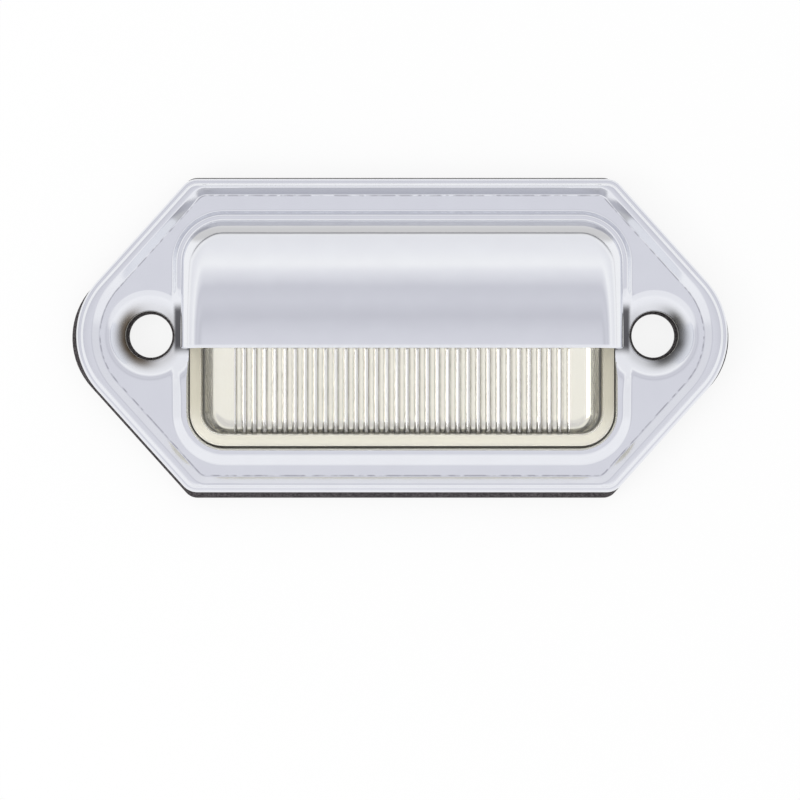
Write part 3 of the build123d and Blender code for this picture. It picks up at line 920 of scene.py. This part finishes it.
# %% Reflector bowl
BOWL, BOWL_Y = (24.6, 11.85, 3.2), -0.6
BOWL_FOOT, BOWL_FLOOR, BOWL_TOP, BOWL_RUN = 6.0, 6.7, 7.9, 2.2
SOURCES = [((i - 2.5) * 7.6, 4.0) for i in range(6)]
SOURCE_X, SOURCE_Y = 2.05, 1.7
SCREWS, SCREW_R = [(-20.2, 7.4), (20.2, 7.4)], 1.15


def bowl_mesh():
    insets = (0, 0.08, 0.18, 0.3, 0.45, 0.62, 0.82, 1.05, 1.3, 1.6, 1.9, 2.2, 2.6)
    loops = [round_row(BOWL, BOWL_Y, -inset, 1.6) for inset in insets]
    signs = ((-1, -1), (1, -1), (1, 1), (-1, 1))
    loops += [[(u + SOURCE_X * a, v + SOURCE_Y * b) for a, b in signs] for u, v in SOURCES]
    loops += [[(u + a, v + b) for a, b in arc(0, 0, SCREW_R, 0, 360, 15)[:-1]] for u, v in SCREWS]
    flat, fixed = [], []
    for loop in loops:
        fixed += linked(len(flat), len(loop))
        flat += loop
    made = geometry.delaunay_2d_cdt([Vector(p) for p in flat], fixed, [], 0, 1e-5)
    net = np.array([tuple(v) for v in made[0]])
    faces = np.array([f for f in made[2] if len(f) == 3])
    mid = net[faces].mean(axis=1)
    kept = np.ones(len(faces), bool)
    for u, v in SOURCES:
        kept &= (np.abs(mid[:, 0] - u) > SOURCE_X) | (np.abs(mid[:, 1] - v) > SOURCE_Y)
    for u, v in SCREWS:
        kept &= np.hypot(mid[:, 0] - u, mid[:, 1] - v) > SCREW_R - 0.01
    rise = np.clip(1 + outside_round(net[:, 0], net[:, 1], BOWL, BOWL_Y) / BOWL_RUN, 0, 1) ** 2.5
    z = BOWL_FLOOR + (BOWL_TOP - BOWL_FLOOR) * rise
    bowl = bmesh.new()
    upper = [bowl.verts.new((a * MM, b * MM, c * MM)) for (a, b), c in zip(net, z)]
    lower = [bowl.verts.new((a * MM, b * MM, BOWL_FOOT * MM)) for a, b in net]
    for a, b, c in faces[kept]:
        bowl.faces.new((upper[a], upper[b], upper[c]))
        bowl.faces.new((lower[c], lower[b], lower[a]))
    partner = dict(zip(upper, lower))
    for edge in [e for e in bowl.edges if e.is_boundary and e.verts[0] in partner]:
        a, b = edge.verts
        bowl.faces.new((a, b, partner[b], partner[a]))
    for vert in [v for v in bowl.verts if not v.link_faces]:
        bowl.verts.remove(vert)
    bmesh.ops.recalc_face_normals(bowl, faces=bowl.faces)
    return bowl


bowl = bowl_mesh()
print("bowl closed", all(e.is_manifold for e in bowl.edges), "volume mm3", round(bowl.calc_volume() / MM**3, 1))
mirror = as_object(bowl, "reflector_bowl", 40)
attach(mirror, "root")
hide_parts("reflector")

# %% [markdown]
# Its coating is thin bright metal, a little warm and cloudy. A steady slope in the bump leans the mirror to the
# front, where the tent is brightest.

# %% Reflector finish
coated, tree, shader = new_finish("metal_coating", Metallic=1.0)
where = place(tree)
cloud = grain(tree, where, 2.0)
rise = Wire.node(tree, "ShaderNodeSeparateXYZ", {}, {"Vector": where}, "Y") * (0.17 / MM)
feed(tree, shader, Base_Color=blend(tree, cloud, (0.98, 0.965, 0.89, 1), (0.995, 0.985, 0.93, 1)),
     Roughness=0.10 + cloud * 0.1, Normal=bump(tree, rise, 1.0))
mirror.data.materials.append(coated)
print("coating on", mirror.name)

# %% [markdown]
# The light sources are pale packages with a cup of yellowish filling. The filling is picked out by height,
# because it lies below the brim of the cup. The board is white, with a faint weave.

# %% Light sources and board
glowing, tree, shader = new_finish("source_package")
where = place(tree)
z = Wire.node(tree, "ShaderNodeSeparateXYZ", {}, {"Vector": where}, "Z")
filling = z.between(7.3 * MM, 7.38 * MM) * (1 - z.between(7.42 * MM, 7.5 * MM))
body = blend(tree, grain(tree, where, 0.3), (0.86, 0.85, 0.81, 1), (0.93, 0.92, 0.88, 1))
feed(tree, shader, Base_Color=blend(tree, filling, body, (0.90, 0.76, 0.30, 1)),
     Roughness=0.3 + grain(tree, where, 0.2) * 0.2)
dress(glowing, "led", *[f"led_{i}" for i in range(1, 7)])

masked, tree, shader = new_finish("board_mask")
where = place(tree)
weave = Wire.node(tree, "ShaderNodeTexWave", {"bands_direction": "X"},
                  {"Vector": where, "Scale": 260.0, "Distortion": 0.6})
feed(tree, shader, Base_Color=blend(tree, weave, (0.86, 0.86, 0.84, 1), (0.92, 0.92, 0.90, 1)),
     Roughness=0.35 + grain(tree, where, 0.5) * 0.2)
dress(masked, "board", "circuit_board")

# %% [markdown]
# The pad and the plug are rubber: near black, with a fine matt grain that catches a little light. The seal is
# pale silicone, the base a grey moulding and the chips a black one. All are matt, so one function makes them.

# %% Rubber, silicone and mouldings
def matt_finish(name, dark, light, size, depth, rough):
    material, tree, shader = new_finish(name, Specular_IOR_Level=0.35)
    where = place(tree)
    speck = grain(tree, where, size, 4.0)
    patch = grain(tree, where, 6.0)
    feed(tree, shader, Base_Color=blend(tree, speck.between(0.35, 0.7), (*dark, 1), (*light, 1)),
         Roughness=rough + patch * 0.15, Normal=bump(tree, speck, depth))
    return material


pad_rubber = matt_finish("pad_rubber", (0.035, 0.030, 0.032), (0.115, 0.105, 0.108), 0.16, 0.05, 0.70)
dress(pad_rubber, "rubber", "gasket")
plug_rubber = matt_finish("plug_rubber", (0.03, 0.03, 0.03), (0.06, 0.06, 0.06), 0.2, 0.03, 0.6)
dress(plug_rubber, "seal", "wire_grommet")
silicone = matt_finish("pale_silicone", (0.80, 0.76, 0.62), (0.90, 0.87, 0.75), 0.5, 0.01, 0.4)
dress(silicone, "silicone", "lens_seal")
moulding = matt_finish("base_moulding", (0.24, 0.235, 0.21), (0.30, 0.29, 0.265), 0.12, 0.02, 0.5)
dress(moulding, "base", "base")
chips = matt_finish("chip_moulding", (0.03, 0.03, 0.032), (0.07, 0.07, 0.075), 0.1, 0.01, 0.45)
dress(chips, "chip", "resistor_1", "resistor_2", "resistor_3", "diode")

# %% [markdown]
# The small metal parts are plated: bright zinc on the screws, tin over brass on the tabs. Both have a drawn
# grain, which a stretched noise gives.

# %% Small metal parts
def drawn_metal(name, dark, light):
    material, tree, shader = new_finish(name, Metallic=1.0)
    stretched = Wire.node(tree, "ShaderNodeMapping", {}, {"Vector": place(tree), "Scale": (1.0, 12.0, 1.0)})
    streak = grain(tree, stretched, 0.8, 3.0)
    feed(tree, shader, Base_Color=blend(tree, streak, (*dark, 1), (*light, 1)), Roughness=0.25 + streak * 0.2,
         Normal=bump(tree, streak, 0.005))
    return material


dress(drawn_metal("bright_zinc", (0.52, 0.52, 0.55), (0.70, 0.70, 0.72)), "screw", "board_screw_1", "board_screw_2")
dress(drawn_metal("tinned_brass", (0.70, 0.55, 0.30), (0.86, 0.74, 0.48)), "brass", "terminal_1", "terminal_2")

# %% Finish
bpy.context.scene.view_settings.view_transform = "Standard"
